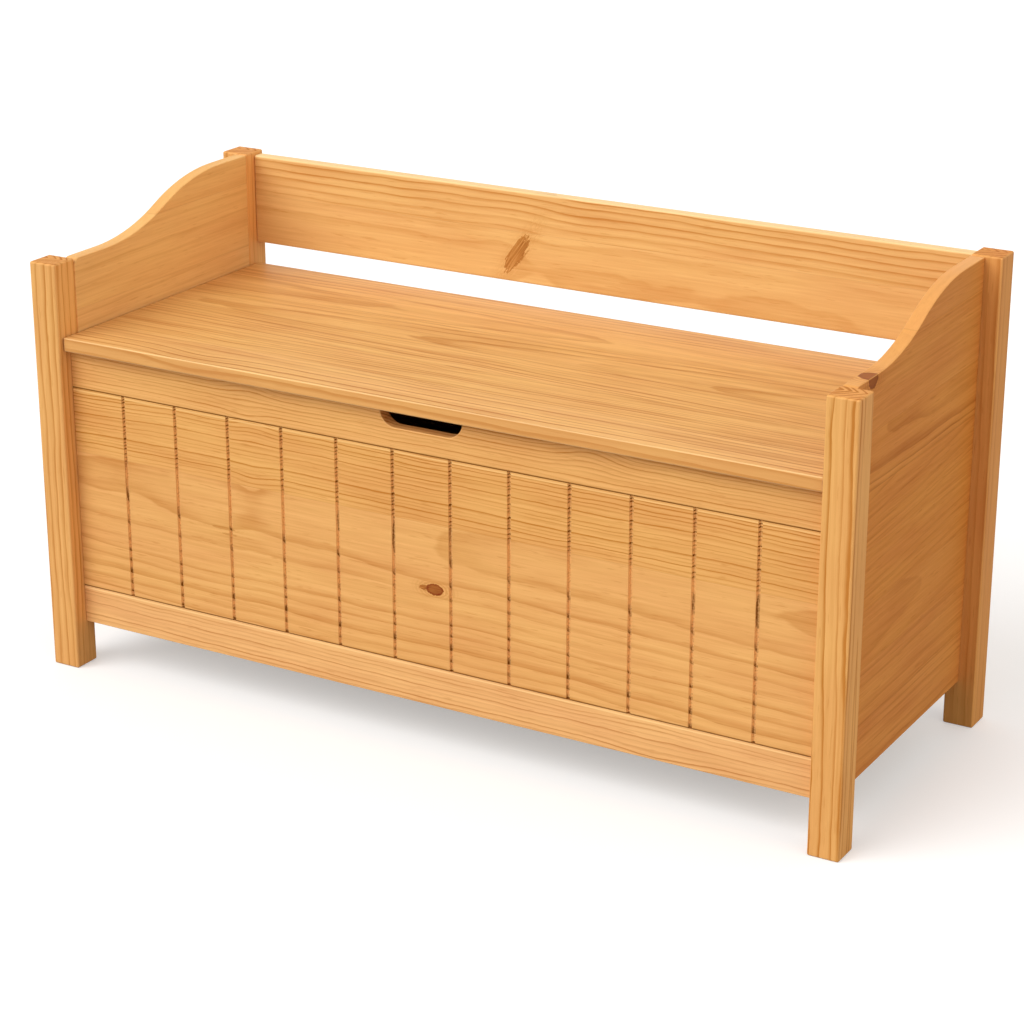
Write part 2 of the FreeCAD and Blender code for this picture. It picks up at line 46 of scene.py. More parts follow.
class Axis(Enum):
    """The axes of the bench: X along its width, Y to its back, Z up."""

    X = 0
    Y = 1
    Z = 2

    @property
    def direction(self) -> Triple:
        """The unit vector of this axis."""
        return tuple(float(i == self.value) for i in range(3))


def colour(code: str) -> tuple[float, float, float, float]:
    """Turns a hex colour code into a linear colour.

    Args:
        code: Six hex digits, such as "E8AC68".

    Returns:
        Red, green, blue and alpha.
    """
    shares = [int(code[i : i + 2], 16) / 255 for i in (0, 2, 4)]
    linear = [s / 12.92 if s <= 0.04045 else ((s + 0.055) / 1.055) ** 2.4 for s in shares]
    return (*linear, 1.0)


class Wire:
    """A value in a node graph that is combined by plain arithmetic."""

    def __init__(self, graph: Graph, socket: bpy.types.NodeSocket) -> None:
        """Keeps the graph and the output socket that carries the value."""
        self.graph = graph
        self.socket = socket

    def __add__(self, other: Value) -> Wire:
        """Adds."""
        return self.graph.math("ADD", self, other)

    def __sub__(self, other: Value) -> Wire:
        """Subtracts."""
        return self.graph.math("SUBTRACT", self, other)

    def __rsub__(self, other: Value) -> Wire:
        """Subtracts from a number."""
        return self.graph.math("SUBTRACT", other, self)

    def __mul__(self, other: Value) -> Wire:
        """Multiplies."""
        return self.graph.math("MULTIPLY", self, other)

    def __truediv__(self, other: Value) -> Wire:
        """Divides."""
        return self.graph.math("DIVIDE", self, other)

    def __abs__(self) -> Wire:
        """Drops the sign."""
        return self.graph.math("ABSOLUTE", self)


Value = Union[float, Sequence[float], Wire]


class Graph:
    """Short calls that add shader nodes to one tree and wire them."""

    def __init__(self, tree: bpy.types.NodeTree) -> None:
        """Keeps the tree that the nodes go into."""
        self.tree = tree

    def feed(self, socket: bpy.types.NodeSocket, value: Value) -> None:
        """Sets a socket to a plain value, or links a wire to it."""
        if isinstance(value, Wire):
            self.tree.links.new(value.socket, socket)
        else:
            socket.default_value = value

    def node(self, kind: str, inputs: dict[Union[int, str], Value], **settings: object) -> bpy.types.Node:
        """Adds a node.

        Args:
            kind: Blender's name of the node type.
            inputs: A value for each input, by its name or number.
            settings: The node's own properties.

        Returns:
            The new node.
        """
        made = self.tree.nodes.new(kind)
        for name, value in settings.items():
            setattr(made, name, value)
        for key, value in inputs.items():
            self.feed(made.inputs[key], value)
        return made

    def wire(
        self, kind: str, inputs: dict[Union[int, str], Value], output: Union[int, str] = 0, **settings: object
    ) -> Wire:
        """Adds a node and gives one of its outputs as a wire."""
        return Wire(self, self.node(kind, inputs, **settings).outputs[output])

    def math(self, operation: str, *values: Value) -> Wire:
        """Adds a maths node."""
        return self.wire("ShaderNodeMath", dict(enumerate(values)), operation=operation)

    def smooth(self, value: Value, low: float, high: float) -> Wire:
        """Rises gently from 0 at low to 1 at high, or falls where low is the larger."""
        inputs = {"Value": value, "From Min": low, "From Max": high}
        return self.wire("ShaderNodeMapRange", inputs, interpolation_type="SMOOTHSTEP")

    def vector(self, x: Value, y: Value, z: Value) -> Wire:
        """Joins three values into a vector."""
        return self.wire("ShaderNodeCombineXYZ", {0: x, 1: y, 2: z})

    def split(self, vector: Value) -> tuple[Wire, Wire, Wire]:
        """Parts a vector into its three values."""
        outputs = self.node("ShaderNodeSeparateXYZ", {0: vector}).outputs
        return Wire(self, outputs[0]), Wire(self, outputs[1]), Wire(self, outputs[2])

    def larger(self, first: Value, second: Value) -> Wire:
        """Gives the larger of two values."""
        return self.math("MAXIMUM", first, second)

    def noise(self, vector: Wire, detail: float = 2.0, roughness: float = 0.5) -> Wire:
        """Soft noise from 0 to 1 that is about one unit of the vector wide."""
        inputs = {"Vector": vector, "Scale": 1.0, "Detail": detail, "Roughness": roughness}
        return self.wire("ShaderNodeTexNoise", inputs, "Fac")

    def grain(
        self, place: Sequence[Wire], scale: Pair, shift: Wire, signs: Pair,
        detail: float = 2.0, roughness: float = 0.5,
    ) -> Wire:
        """Noise that is stretched along the grain of a board.

        Args:
            place: Place along, across and through the board.
            scale: Waves per metre, along the grain and across it.
            shift: The board's own offset in the noise.
            signs: How the offset counts along and across: 1, 0 or -1.
            detail: Number of finer layers.
            roughness: Strength of the finer layers.

        Returns:
            The noise, from 0 to 1.
        """
        along, across, depth = place
        x = along * scale[0] + shift * signs[0]
        y = across * scale[1] + shift * signs[1]
        return self.noise(self.vector(x, y, depth * scale[1]), detail, roughness)

    def mix(self, share: Value, first: Value, second: Value, blend: str = "MIX") -> Wire:
        """Mixes two colours."""
        made = self.node("ShaderNodeMix", {}, data_type="RGBA", blend_type=blend, clamp_factor=True)
        for number, value in ((0, share), (6, first), (7, second)):
            self.feed(made.inputs[number], value)
        return Wire(self, made.outputs[2])

    def surface(self, inputs: dict[Union[int, str], Value]) -> None:
        """Ends a material's graph with a shader that has these inputs."""
        shader = self.node("ShaderNodeBsdfPrincipled", inputs)
        end = self.node("ShaderNodeOutputMaterial", {})
        self.tree.links.new(shader.outputs[0], end.inputs["Surface"])


def blank_material(name: str) -> tuple[bpy.types.Material, Graph]:
    """Makes a material with an empty graph, and gives both."""
    made = bpy.data.materials.new(name)
    made.use_nodes = True
    made.node_tree.nodes.clear()
    return made, Graph(made.node_tree)


class NodeGroup:
    """A shader effect that is built once and placed in each material with its own values."""

    name: ClassVar[str]
    inputs: ClassVar[dict[str, Value]]
    outputs: ClassVar[tuple[str, ...]]
    colours: ClassVar[tuple[str, ...]] = ("Colour",)
    vectors: ClassVar[tuple[str, ...]] = ("Cut", "Flow", "Look")

    def build(self, graph: Graph, values: dict[str, Wire]) -> dict[str, Wire]:
        """Wires the effect; each group has its own.

        Args:
            graph: The group's inner graph.
            values: The group's inputs by name.

        Returns:
            The group's outputs by name.
        """
        raise NotImplementedError

    def tree(self) -> bpy.types.NodeTree:
        """Gives the group's node tree, and builds it on first use."""
        found = bpy.data.node_groups.get(self.name)
        if found:
            return found
        made = bpy.data.node_groups.new(self.name, "ShaderNodeTree")
        for name, value in self.inputs.items():
            width = len(value) if isinstance(value, tuple) else 1
            kind = {1: "NodeSocketFloat", 3: "NodeSocketVector", 4: "NodeSocketColor"}[width]
            made.interface.new_socket(name=name, in_out="INPUT", socket_type=kind).default_value = value
        for name in self.outputs:
            kind = "NodeSocketColor" if name in self.colours else "NodeSocketFloat"
            kind = "NodeSocketVector" if name in self.vectors else kind
            made.interface.new_socket(name=name, in_out="OUTPUT", socket_type=kind)
        graph = Graph(made)
        start = made.nodes.new("NodeGroupInput")
        end = made.nodes.new("NodeGroupOutput")
        results = self.build(graph, {name: Wire(graph, start.outputs[name]) for name in self.inputs})
        for name, result in results.items():
            graph.feed(end.inputs[name], result)
        return made

    def place(self, graph: Graph, values: dict[str, Value]) -> dict[str, Wire]:
        """Puts the group into a graph.

        Args:
            graph: Where it goes.
            values: Its inputs by name; the rest keep their usual values.

        Returns:
            Its outputs by name.
        """
        made = graph.node("ShaderNodeGroup", values, node_tree=self.tree())
        return {name: Wire(graph, made.outputs[name]) for name in self.outputs}


class GrowthRings(NodeGroup):
    """Yearly rings of a log, cut through by the board.

    Cut holds the ring width and where the pith lies, across and through the board. Flow holds how fast
    the log tapers, and how far its grain wanders in long waves and in short curls. Each layer of noise has
    its waves per metre, along and across the grain, and the signs of the seed's shift.
    """

    name = "growth_rings"
    inputs = {
        "Along": 0.0, "Across": 0.0, "Depth": 0.0, "Cut": (0.007, 0.0, -0.1), "Flow": (0.0, 0.01, 0.001),
        "Seed": 0.0, "Push": 0.0,
    }
    outputs = ("Late", "Ring Tone")
    seed_step: float = 3.7
    layers: tuple[tuple[Pair, Pair], ...] = (
        ((1.9, 6.0), (1, 1)), ((7.5, 16.0), (1, -1)), ((26.0, 60.0), (1, 0))
    )
    wave_share: float = 0.45
    drift_pace: float = 0.4
    drift_rings: float = 2.0
    late_rise: Pair = (0.3, 0.95)
    late_fall: Pair = (1.0, 0.94)

    def build(self, graph: Graph, values: dict[str, Wire]) -> dict[str, Wire]:
        """Measures the distance to a wandering pith and shades each ring from early to late wood."""
        ring, pith_across, pith_depth = graph.split(values["Cut"])
        taper, wander, curl = graph.split(values["Flow"])
        along, across, depth = place = values["Along"], values["Across"], values["Depth"]
        shift = values["Seed"] * self.seed_step
        slow, wave, fine = (graph.grain(place, scale, shift, signs) - 0.5 for scale, signs in self.layers)
        aside = across - pith_across
        below = depth - pith_depth
        radius = graph.math("SQRT", aside * aside + below * below) + along * taper + values["Push"]
        count = (radius + (slow + wave * self.wave_share) * wander + fine * curl) / ring
        drift = graph.noise(graph.vector(count * self.drift_pace + shift, shift, 0.5)) - 0.5
        count = count + drift * self.drift_rings
        phase = graph.math("FRACT", count)
        rise = graph.smooth(phase, *self.late_rise)
        late = rise * rise * graph.smooth(phase, *self.late_fall)
        index = graph.math("FLOOR", count) + values["Seed"]
        tone = graph.wire("ShaderNodeTexWhiteNoise", {"W": index}, "Value", noise_dimensions="1D")
        return {"Late": late, "Ring Tone": tone + wave}


class Fibres(NodeGroup):
    """Streaks, bands, clouds and short resin dashes that run with the grain, and specks as broad as long.

    Each layer has its waves per metre, along and across the grain, the signs of the seed's shift, and the
    number and strength of finer layers in it.
    """

    name = "fibres"
    inputs = {"Along": 0.0, "Across": 0.0, "Depth": 0.0, "Seed": 0.0}
    outputs = ("Streak", "Band", "Cloud", "Dash", "Speck")
    seed_step: float = 5.3
    layers: dict[str, tuple[Pair, Pair, float, float]] = {
        "Streak": ((9.0, 330.0), (1, 0), 4.0, 0.62), "Band": ((3.0, 90.0), (1, 0), 4.0, 0.6),
        "Cloud": ((6.0, 24.0), (-1, 1), 2.0, 0.5), "Dash": ((34.0, 430.0), (0, 1), 1.0, 0.5),
        "Speck": ((420.0, 420.0), (0, 0), 2.0, 0.5),
    }
    dash_rise: Pair = (0.64, 0.76)

    def build(self, graph: Graph, values: dict[str, Wire]) -> dict[str, Wire]:
        """Stretches noise along the grain at several scales."""
        place = values["Along"], values["Across"], values["Depth"]
        shift = values["Seed"] * self.seed_step
        made = {}
        for name, (scale, signs, detail, roughness) in self.layers.items():
            made[name] = graph.grain(place, scale, shift, signs, detail, roughness)
        made["Dash"] = graph.smooth(made["Dash"], *self.dash_rise)
        return made


class KnotFlow(NodeGroup):
    """A knot: its heart, the amber halo around it, and how it bends the grain.

    Swirl bends the grain past the knot on one side. Eye closes the rings around it. Feather frays its ends.
    Distances count in the knot's own half sizes.
    """

    name = "knot_flow"
    inputs = {
        "Along": 0.0, "Across": 0.0, "Depth": 0.0, "Centre": ORIGIN, "Half Length": 0.012,
        "Half Width": 0.007, "Half Depth": 1.0, "Lean": 0.0, "Dark": 1.0, "Swirl": 1.0, "Eye": 0.0,
        "Feather": 0.0, "Push In": 0.0, "Heart In": 0.0, "Halo In": 0.0,
    }
    outputs = ("Push", "Heart", "Halo")
    rough_scale: float = 260.0
    rough_reach: float = 0.5
    fibre_scale: Pair = (0.8, 5.0)
    heart_fall: Pair = (1.1, 0.9)
    rim_rise: Pair = (0.6, 1.0)
    rim_share: float = 0.25
    ring_pace: float = 15.0
    ring_start: float = 0.78
    ring_share: float = 0.45
    halo_fall: Pair = (2.1, 0.7)
    halo_stretch: float = 0.4
    bend_fade: Pair = (-0.09, -0.05)
    bend: float = -0.75

    def build(self, graph: Graph, values: dict[str, Wire]) -> dict[str, Wire]:
        """Measures the distance to a leaning ellipse and shapes it."""
        centre_along, centre_across, centre_depth = graph.split(values["Centre"])
        away = values["Along"] - centre_along
        aside = values["Across"] - centre_across
        cosine = graph.math("COSINE", values["Lean"])
        sine = graph.math("SINE", values["Lean"])
        u = (away * cosine + aside * sine) / values["Half Length"]
        v = (aside * cosine - away * sine) / values["Half Width"]
        w = (values["Depth"] - centre_depth) / values["Half Depth"]
        rough = graph.noise(graph.vector(away * self.rough_scale, aside * self.rough_scale, 0.0)) - 0.5
        fibre = graph.noise(graph.vector(u * self.fibre_scale[0], v * self.fibre_scale[1], 0.3), 3.0) - 0.5
        frayed = rough * self.rough_reach + fibre * values["Feather"]
        distance = graph.math("SQRT", u * u + v * v + w * w) + frayed
        rim = graph.smooth(distance, *self.rim_rise) * self.rim_share + (1.0 - self.rim_share)
        rim = rim + fibre * (values["Feather"] + 0.5)
        heart = graph.smooth(distance, *self.heart_fall) * rim * values["Dark"]
        lines = graph.math("SINE", distance * self.ring_pace + self.ring_start) * self.ring_share
        wide = graph.math("SQRT", u * u * self.halo_stretch + v * v)
        halo = graph.smooth(wide, *self.halo_fall) * (lines + (1.0 - self.ring_share)) * values["Dark"]
        fade = graph.math("EXPONENT", u * u * self.bend_fade[0] + v * v * self.bend_fade[1])
        push = (v * values["Half Width"] * values["Swirl"] * self.bend - values["Eye"]) * fade
        return {
            "Push": push + values["Push In"], "Heart": graph.larger(heart, values["Heart In"]),
            "Halo": graph.larger(halo, values["Halo In"]),
        }


class GlueJoint(NodeGroup):
    """The line where one glued board of a panel ends and the next begins."""

    name = "glue_joint"
    inputs = {
        "Across": 0.0, "Place": 0.0, "Line In": 0.0,
        **dict.fromkeys(("Cut In", "Flow In", "Look In", "Next Cut", "Next Flow", "Next Look"), ORIGIN),
    }
    outputs = ("Cut", "Flow", "Look", "Line")
    line_fall: Pair = (0.0006, 0.0001)

    def build(self, graph: Graph, values: dict[str, Wire]) -> dict[str, Wire]:
        """Passes the first board's values on below the joint, and the next board's above it."""
        beyond = values["Across"] - values["Place"]
        share = graph.math("GREATER_THAN", beyond, 0.0)
        made = {}
        for name in self.vectors:
            inputs = {"Factor": share, 4: values[f"{name} In"], 5: values[f"Next {name}"]}
            made[name] = graph.wire("ShaderNodeMix", inputs, 1, data_type="VECTOR")
        made["Line"] = graph.larger(graph.smooth(abs(beyond), *self.line_fall), values["Line In"])
        return made


class CutFaces(NodeGroup):
    """Masks for end grain, for rounded edges and for the board's narrow edge, by the surface's direction; the
    narrow-edge mask places painted light and painted shade.
    """

    name = "cut_faces"
    inputs = {
        "Normal": (0.0, 0.0, 1.0), "Grain": (1.0, 0.0, 0.0), "Wide": (0.0, 1.0, 0.0),
        "Through": (0.0, 0.0, 1.0), "Ends": 0.0,
    }
    outputs = ("End", "Edge", "Narrow Light Shade")
    end_rise: Pair = (0.3, 0.8)
    edge_rise: Pair = (0.1, 0.8)
    narrow_light_shade_rise: Pair = (0.45, 0.9)

    def build(self, graph: Graph, values: dict[str, Wire]) -> dict[str, Wire]:
        """Compares the surface's direction with the grain, the board's width and its thickness."""
        facing = {}
        for name in ("Grain", "Wide", "Through"):
            inputs = {0: values["Normal"], 1: values[name]}
            facing[name] = abs(graph.wire("ShaderNodeVectorMath", inputs, "Value", operation="DOT_PRODUCT"))
        tilt = {name: share * share * (1.0 - share * share) * 4.0 for name, share in facing.items()}
        edge = graph.larger(tilt["Through"], tilt["Grain"] * values["Ends"])
        return {
            "End": graph.smooth(facing["Grain"], *self.end_rise), "Edge": graph.smooth(edge, *self.edge_rise),
            "Narrow Light Shade": graph.smooth(facing["Wide"], *self.narrow_light_shade_rise),
        }


class PineTone(NodeGroup):
    """Brings the marks of the wood together as its colour, gloss and relief.

    Shares say how strongly each mark colours the wood.
    """

    name = "pine_tone"
    inputs = {
        **dict.fromkeys(("Late", "Dash", "End", "Edge", "Narrow Light Shade", "Heart", "Halo"), 0.0),
        **dict.fromkeys(("Line", "Seam", "Arris Wear Light", "Groove"), 0.0),
        **dict.fromkeys(("Ring Tone", "Streak", "Band", "Cloud", "Speck"), 0.5),
        "Band Share": 0.4, "Gloss": 0.4, "Look": (1.0, 0.5, 0.0),
        **dict.fromkeys(("Early Wood", "Late Wood", "End Wood", "Knot Wood"), (0.8, 0.5, 0.2, 1.0)),
        **dict.fromkeys(("Narrow Light Shade Wood", "Arris Wear Light Wood", "Groove Wood"), (0.8, 0.5, 0.2, 1.0)),
    }
    outputs = ("Colour", "Roughness", "Height")
    shares: dict[str, float] = {
        "Dash": 0.35, "End": 0.35, "Narrow Light Shade": 0.55, "Halo": 0.55, "Heart": 2.0, "Edge": 0.45, "Arris Wear Light": 0.7,
        "Groove": 0.4, "Line": 0.14, "Seam": 0.85,
    }
    ring_tone: Pair = (0.8, 0.25)
    end_rings: float = 1.6
    cloud_share: float = 0.4
    streak_share: float = 0.85
    least_shade: float = 0.17
    speck_share: float = 1.8
    groove_rings: float = 0.8
    least_speck: float = 0.02
    hue_drift: float = -0.01
    saturation: Pair = (1.4, 0.8)
    rough_end: float = 0.22
    rough_streak: float = 0.16
    rough_groove: float = 0.3

    def build(self, graph: Graph, values: dict[str, Wire]) -> dict[str, Wire]:
        """Lays the marks over each other, from the broadest to the finest."""
        contrast, tone, _ = graph.split(values["Look"])
        marks = {name: values[name] * share for name, share in self.shares.items()}
        streak = values["Streak"] - 0.5
        cloud = values["Cloud"] - 0.5
        band = (values["Band"] - 0.5) * values["Band Share"]
        strength = contrast * (values["Ring Tone"] * self.ring_tone[0] + self.ring_tone[1])
        late = values["Late"] * strength * (values["End"] * self.end_rings + 1.0)
        shade = late + band + cloud * self.cloud_share + streak * self.streak_share + self.least_shade
        speck = (values["Speck"] - 0.5) * self.speck_share + late * self.groove_rings + self.least_speck
        wood = graph.mix(shade, values["Early Wood"], values["Late Wood"])
        wood = graph.mix(marks["Dash"], wood, values["Late Wood"])
        wood = graph.mix(marks["End"], wood, values["End Wood"], "MULTIPLY")
        # Painted light and shade on the narrow edges: a paler painted top on the side panels and back rail, a
        # darker painted front edge on the lid.
        wood = graph.mix(marks["Narrow Light Shade"], wood, values["Narrow Light Shade Wood"])
        wood = graph.mix(marks["Halo"], wood, values["Late Wood"])
        wood = graph.mix(marks["Heart"], wood, values["Late Wood"])
        wood = graph.mix(values["Heart"] * values["Heart"], wood, values["Knot Wood"])
        # Rounded edges get pale wear plus a painted highlight; below each seam a painted highlight line runs
        # along the arris.
        wood = graph.mix(graph.larger(marks["Edge"], marks["Arris Wear Light"]), wood, values["Arris Wear Light Wood"])
        # Painted light: the groove floor is paled to lift its own shade.
        wood = graph.mix(marks["Groove"], wood, values["Arris Wear Light Wood"])
        wood = graph.mix(values["Groove"] * speck, wood, values["Groove Wood"])
        wood = graph.mix(graph.larger(marks["Line"], marks["Seam"]), wood, values["Groove Wood"])
        tinted = graph.wire("ShaderNodeHueSaturation", {
            "Hue": cloud * self.hue_drift + 0.5, "Saturation": self.saturation[0] - tone * self.saturation[1],
            "Value": tone + 0.5, "Color": wood,
        })
        gloss = values["Gloss"] + values["End"] * self.rough_end + streak * self.rough_streak
        gloss = gloss + (values["Groove"] + values["Seam"]) * self.rough_groove
        pores = values["Dash"] * 0.5 + values["Line"] + values["End"] * values["Streak"]
        height = late * 0.5 + values["Streak"] * 0.5 - pores
        return {"Colour": tinted, "Roughness": gloss, "Height": height}


@dataclass(frozen=True)
class Stave:
    """One board of a glued panel, and how it was sawn from its log.

    Attributes:
        ring: Width of its yearly rings.
        pith: Where the pith lies, across the panel and through it.
        contrast: Strength of the late wood.
        tone: Brightness, where 0.5 is the finish's own.
        seed: Picks the stave's own wander.
        taper: How fast the rings close in along the grain.
        wander: Reach of the grain's long waves.
        curl: Reach of its short curls.
        end: Where it ends across the panel, if another stave follows.
    """

    ring: float
    pith: Pair
    contrast: float = 0.7
    tone: float = 0.5
    seed: float = 0.0
    taper: float = 0.0
    wander: float = 0.014
    curl: float = 0.0012
    end: float = math.inf

    @property
    def cut(self) -> Triple:
        """Ring width and pith as one vector."""
        return (self.ring, *self.pith)

    @property
    def flow(self) -> Triple:
        """Taper, wander and curl as one vector."""
        return (self.taper, self.wander, self.curl)

    @property
    def look(self) -> Triple:
        """Contrast, tone and seed as one vector."""
        return (self.contrast, self.tone, self.seed)


@dataclass(frozen=True)
class Knot:
    """A knot in a board.

    Attributes:
        along: Its place along the grain.
        across: Its place across the board.
        half_length: Half its size along the grain.
        half_width: Half its size across the grain.
        lean: How far it is turned out of the grain, in radians.
        dark: Depth of its colour, up to 1.
        swirl: How strongly the grain bends past it.
        eye: How far the rings close around it.
        depth: Where it lies through the board.
        half_depth: How far it reaches from there.
        feather: How far its ends fray.
    """

    along: float
    across: float
    half_length: float
    half_width: float
    lean: float = 0.0
    dark: float = 1.0
    swirl: float = 1.0
    eye: float = 0.0
    depth: float = 0.0
    half_depth: float = 1.0
    feather: float = 0.0


@dataclass(frozen=True)
class Lay:
    """How a board lies in the bench.

    Attributes:
        along: The axis of the grain.
        across: The axis across the board's face.
        depth: The axis through its thickness.
        fold: Where two halves meet that mirror each other through the thickness, if they do.
        ends: 1 where the ends' edges are rounded too.
    """

    along: Axis
    across: Axis
    depth: Axis
    fold: Union[float, None] = None
    ends: float = 0.0


@dataclass(frozen=True)
class PineFinish:
    """Colours and gloss of a pine board.

    Attributes:
        early: Colour of the pale early wood.
        late: Colour of the late wood's lines.
        end: Tint of the end grain.
        knot: Colour of knots.
        narrow_light_shade: Colour painted on the board's narrow edges, where the board shows them, as painted
            light or painted shade.
        arris_wear_light: Colour of its rounded edges, pale where the lacquer is worn and paler still as a
            painted highlight; it also draws a painted highlight line below each seam and pales its grooves as
            painted light.
        groove: Colour of the seams, and of the specks in its grooves.
        roughness: Roughness of the face.
        shine: Strength of its reflection.
        relief: Depth of the grain's relief.
        band: Strength of the broad streaks.
    """

    early: str = "EFB46E"
    late: str = "C5803A"
    end: str = "E0B98C"
    knot: str = "773812"
    narrow_light_shade: str = "EFB46E"
    arris_wear_light: str = "EFB46E"
    groove: str = "855012"
    roughness: float = 0.46
    shine: float = 0.14
    relief: float = 0.00012
    band: float = 0.4


@dataclass(frozen=True)
class Board:
    """A sawn and finished board, as one material.

    Attributes:
        name: Name of the material.
        lay: How the board lies in the bench.
        staves: The staves that it is glued from, or the one that it is sawn from.
        finish: Its colours and gloss.
        knots: Its knots.
        seams: Where it meets its neighbours in a dark line, across the grain.
        groove_depth: Where its grooves begin through its thickness, if it has any.
        narrow_light_shade: Whether its narrow edges get painted light or painted shade, in a colour of their
            own.
    """

    name: str
    lay: Lay
    staves: tuple[Stave, ...]
    finish: PineFinish
    knots: tuple[Knot, ...] = ()
    seams: tuple[float, ...] = ()
    groove_depth: Union[float, None] = None
    narrow_light_shade: bool = False
    groove_blend: ClassVar[float] = 1.0 * MM
    # Under each seam a painted highlight line stands for the arris catching the light; the seam itself is a
    # dark joint line.
    seam_offsets: ClassVar[dict[str, float]] = {"Seam": 0.4 * MM, "Arris Wear Light": -3.0 * MM}
    seam_fall: ClassVar[Pair] = (1.6 * MM, 0.5 * MM)
    relief_share: ClassVar[float] = 0.6

    def material(self) -> bpy.types.Material:
        """Builds the board's material."""
        made, graph = blank_material(self.name)
        place = graph.node("ShaderNodeTexCoord", {})
        spots = graph.split(Wire(graph, place.outputs["Object"]))
        along, across, depth = (spots[a.value] for a in (self.lay.along, self.lay.across, self.lay.depth))
        through = abs(depth - self.lay.fold) if self.lay.fold is not None else depth
        position = {"Along": along, "Across": across, "Depth": through}
        marks = self._staves(graph, across)
        marks.update(self._knots(graph, position))
        seed = graph.split(marks["Look"])[2]
        own = {"Seed": seed, **{name: marks.pop(name) for name in ("Cut", "Flow", "Push")}}
        marks.update(GrowthRings().place(graph, {**position, **own}))
        marks.update(Fibres().place(graph, {**position, "Seed": seed}))
        facing = {
            "Normal": Wire(graph, place.outputs["Normal"]), "Grain": self.lay.along.direction,
            "Wide": self.lay.across.direction, "Through": self.lay.depth.direction, "Ends": self.lay.ends,
        }
        marks.update(CutFaces().place(graph, facing))
        if not self.narrow_light_shade:
            del marks["Narrow Light Shade"]
        if self.groove_depth is not None:
            marks["Groove"] = graph.smooth(depth, self.groove_depth, self.groove_depth + self.groove_blend)
        for seam in self.seams:
            for name, offset in self.seam_offsets.items():
                line = graph.smooth(abs(across - seam - offset), *self.seam_fall)
                marks[name] = graph.larger(line, marks.get(name, 0.0))
        self._shade(graph, marks)
        return made

    def _staves(self, graph: Graph, across: Wire) -> dict[str, Value]:
        """Chains the staves from the first to the last.

        Args:
            graph: The material's graph.
            across: Place across the panel.

        Returns:
            The cut, flow, look and joint line at each point.
        """
        first, *others = self.staves
        made = {
            "Cut": graph.vector(*first.cut), "Flow": graph.vector(*first.flow),
            "Look": graph.vector(*first.look), "Line": 0.0,
        }
        edge = first.end
        for stave in others:
            values = {
                "Across": across, "Place": edge, **{f"{name} In": value for name, value in made.items()},
                "Next Cut": stave.cut, "Next Flow": stave.flow, "Next Look": stave.look,
            }
            made = GlueJoint().place(graph, values)
            edge = stave.end
        return made

    def _knots(self, graph: Graph, position: dict[str, Wire]) -> dict[str, Value]:
        """Chains the knots.

        Args:
            graph: The material's graph.
            position: Place along, across and through the board.

        Returns:
            The push on the grain, and the masks of hearts and halos.
        """
        made: dict[str, Value] = {"Push": 0.0, "Heart": 0.0, "Halo": 0.0}
        for knot in self.knots:
            values = {
                **position, "Centre": (knot.along, knot.across, knot.depth), "Half Length": knot.half_length,
                "Half Width": knot.half_width, "Half Depth": knot.half_depth, "Lean": knot.lean,
                "Dark": knot.dark, "Swirl": knot.swirl, "Eye": knot.eye, "Feather": knot.feather,
                "Push In": made["Push"], "Heart In": made["Heart"], "Halo In": made["Halo"],
            }
            made = KnotFlow().place(graph, values)
        return dict(made)

    def _shade(self, graph: Graph, marks: dict[str, Value]) -> None:
        """Ends the graph with the shader, from what the groups found at each point."""
        finish = self.finish
        tints = {
            "Early Wood": colour(finish.early), "Late Wood": colour(finish.late),
            "End Wood": colour(finish.end), "Knot Wood": colour(finish.knot),
            "Narrow Light Shade Wood": colour(finish.narrow_light_shade), "Arris Wear Light Wood": colour(finish.arris_wear_light),
            "Groove Wood": colour(finish.groove), "Gloss": finish.roughness, "Band Share": finish.band,
        }
        tone = PineTone().place(graph, {**marks, **tints})
        relief = {"Height": tone["Height"], "Strength": self.relief_share, "Distance": finish.relief}
        graph.surface({
            "Base Color": tone["Colour"], "Roughness": tone["Roughness"],
            "Normal": graph.wire("ShaderNodeBump", relief), "Specular IOR Level": finish.shine,
        })


@dataclass(frozen=True)
class FittingFinish:
    """Metal or nylon of a fitting.

    Attributes:
        name: Name of the material.
        tint: Its colour.
        roughness: Its mean roughness.
        metallic: 1 for metal, 0 for nylon.
    """

    name: str
    tint: str
    roughness: float
    metallic: float
    stain_scale: ClassVar[float] = 900.0
    stain_shade: ClassVar[float] = 0.72
    stain_roughness: ClassVar[float] = 0.25

    def material(self) -> bpy.types.Material:
        """Builds the material, with faint stains in its gloss and colour."""
        made, graph = blank_material(self.name)
        place = graph.wire("ShaderNodeTexCoord", {}, "Object")
        inputs = {"Vector": place, "Scale": self.stain_scale, "Detail": 3.0}
        fine = graph.wire("ShaderNodeTexNoise", inputs, "Fac")
        base = colour(self.tint)
        worn = (*(share * self.stain_shade for share in base[:3]), 1.0)
        graph.surface({
            "Base Color": graph.mix(fine, worn, base), "Metallic": self.metallic,
            "Roughness": (fine - 0.5) * self.stain_roughness + self.roughness,
        })
        return made


# The arris colours are pale wear with a painted highlight, on rounded edges and below the seams.
LACQUERED = PineFinish()
FRONT = PineFinish(shine=0.05, knot="823214", arris_wear_light="FFCE88")
RAIL = PineFinish(shine=0.05, arris_wear_light="FFCE88")
# The seat's narrow-edge colour is painted shade: it darkens the lid's front and back edges to a deeper orange
# than its top.
SEAT = PineFinish(early="EAB46F", late="BD7B38", narrow_light_shade="E0A05A", arris_wear_light="FFDDA0", band=1.5)
# The back rail's narrow-edge colour is a painted highlight on its top edge.
PALE = PineFinish(early="EABC7A", late="C68842", narrow_light_shade="FBDDA4", arris_wear_light="FBDDA4")
HONEY = PineFinish(early="EBBB78", late="C68C4A", shine=0.05)
